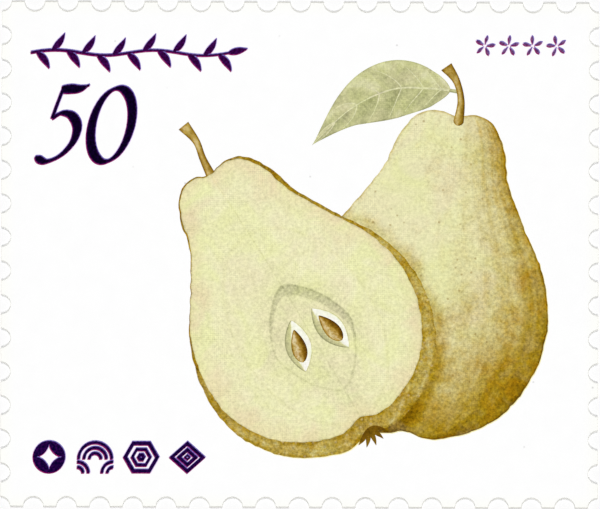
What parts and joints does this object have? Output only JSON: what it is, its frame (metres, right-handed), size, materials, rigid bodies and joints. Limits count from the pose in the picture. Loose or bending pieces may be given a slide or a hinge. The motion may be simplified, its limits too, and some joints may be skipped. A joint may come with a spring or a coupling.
{
  "type": "postage stamp",
  "caption": "Self-adhesive postage stamp: a thin white paper rectangle with die-cut perforated edges, a printed face and an adhesive back.",
  "frame": {"origin": "middle of the underside, on the surface that the stamp lies on", "axes": "+X along the long edge, to the right as the print is read; +Y up the print; +Z out of the printed face"},
  "size_m": [0.03, 0.0254, 0.0001],
  "materials": {
    "paper": "white coated paper, smooth and matt, with a fibrous die-cut edge",
    "adhesive": "thin clear pressure-sensitive adhesive on the back of the paper, slightly glossy",
    "violet_ink": "near-black violet offset ink, for the number and the ornaments",
    "picture_ink": "offset-printed watercolour picture in cream, ochre brown and grey green"
  },
  "bodies": {
    "root": {"adhesive_film": "adhesive", "face_paper": "paper"}
  },
  "joints": []
}
